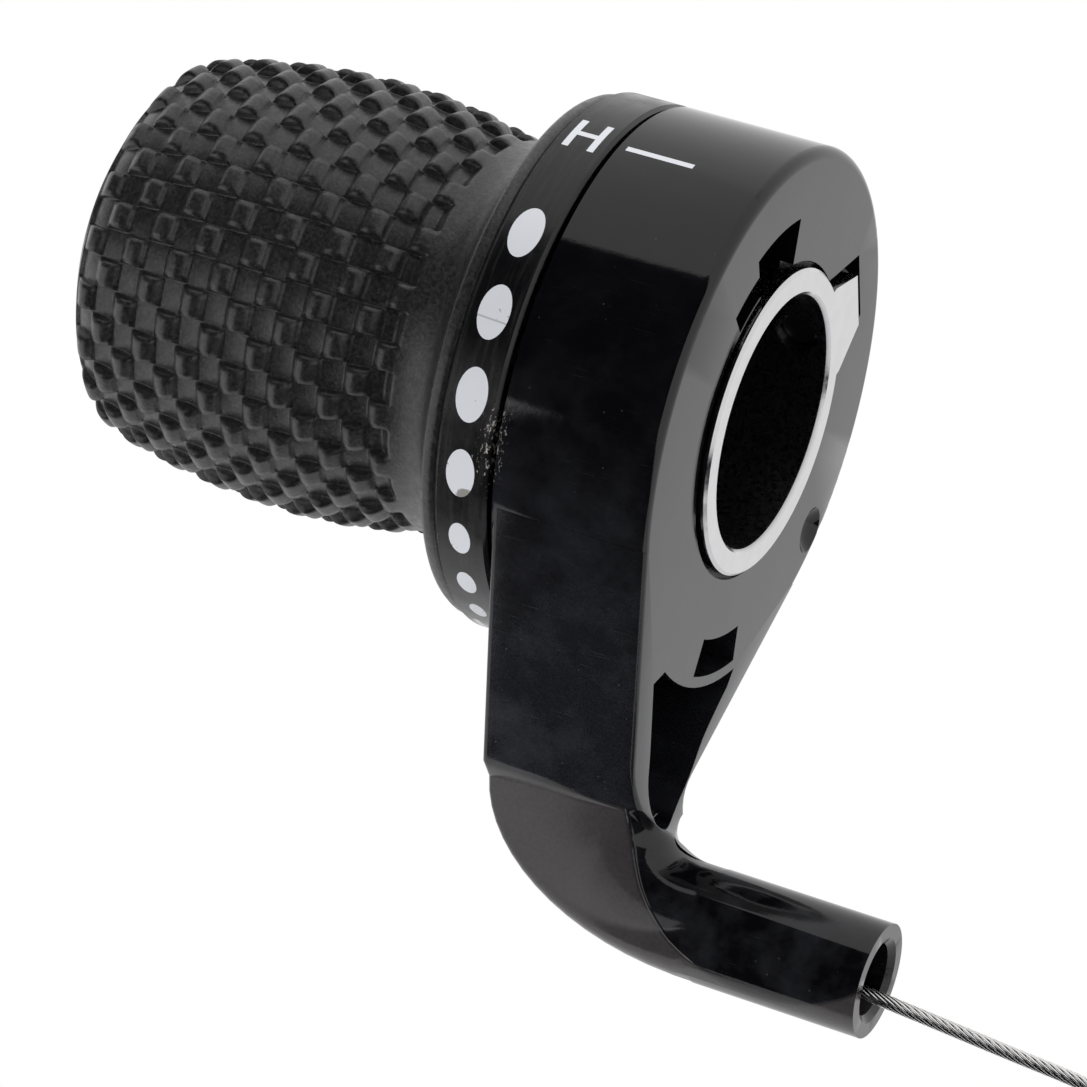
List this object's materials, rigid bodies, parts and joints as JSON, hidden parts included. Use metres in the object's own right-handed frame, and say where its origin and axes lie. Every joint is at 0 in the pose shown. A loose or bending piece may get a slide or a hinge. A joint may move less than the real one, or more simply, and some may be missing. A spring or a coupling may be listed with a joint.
{
  "type": "bicycle twist grip shifter",
  "caption": "Twist-grip shifter for a handlebar: woven rubber grip with a marked dial ring, moulded housing with a cable arm, and an inner wire.",
  "frame": {"origin": "centre of the bar bore at the inboard face of the steel sleeve", "axes": "+X along the handlebar's axis, inboard, the way the cable tube points; -Z along the cable arm"},
  "size_m": [0.1264, 0.0474, 0.1101],
  "materials": {
    "housing_plastic": "glossy black moulded plastic, faintly scuffed",
    "mark_paint": "pale grey-white printed marks",
    "sleeve_steel": "bright turned steel",
    "screw_steel": "dark steel",
    "washer_steel": "plain steel washer",
    "spring_steel": "spring steel strip",
    "liner_plastic": "slippery liner plastic",
    "wire_steel": "stranded steel wire",
    "tie_plastic": "black tie",
    "cap_aluminium": "crimped aluminium cap",
    "dial_plastic": "black moulded plastic with wear streaks",
    "drum_plastic": "white acetal",
    "grip_rubber": "matt black rubber with a woven relief"
  },
  "bodies": {
    "body": {"housing": "housing_plastic", "pointer_mark": "mark_paint", "clamp_sleeve": "sleeve_steel", "clamp_screw": "screw_steel", "friction_washer": "washer_steel", "click_spring": "spring_steel", "wire_guide": "liner_plastic", "wave_washer": "spring_steel", "end_washer": "washer_steel", "retaining_ring": "spring_steel", "cable_lead": "wire_steel", "cable_free": "wire_steel", "cable_coil": "wire_steel", "coil_tie": "tie_plastic", "cable_cap": "cap_aluminium"},
    "grip": {"twist_tube": "dial_plastic", "dial_marks": "mark_paint", "cable_drum": "drum_plastic", "cable_nipple": "screw_steel", "cable_wrap": "wire_steel", "rubber_grip": "grip_rubber"}
  },
  "joints": [
    {"name": "grip_twist", "type": "hinge", "parent": "body", "child": "grip", "pos_m": [0, 0, 0], "axis": [1, 0, 0], "range_deg": [-132, 0]}
  ]
}
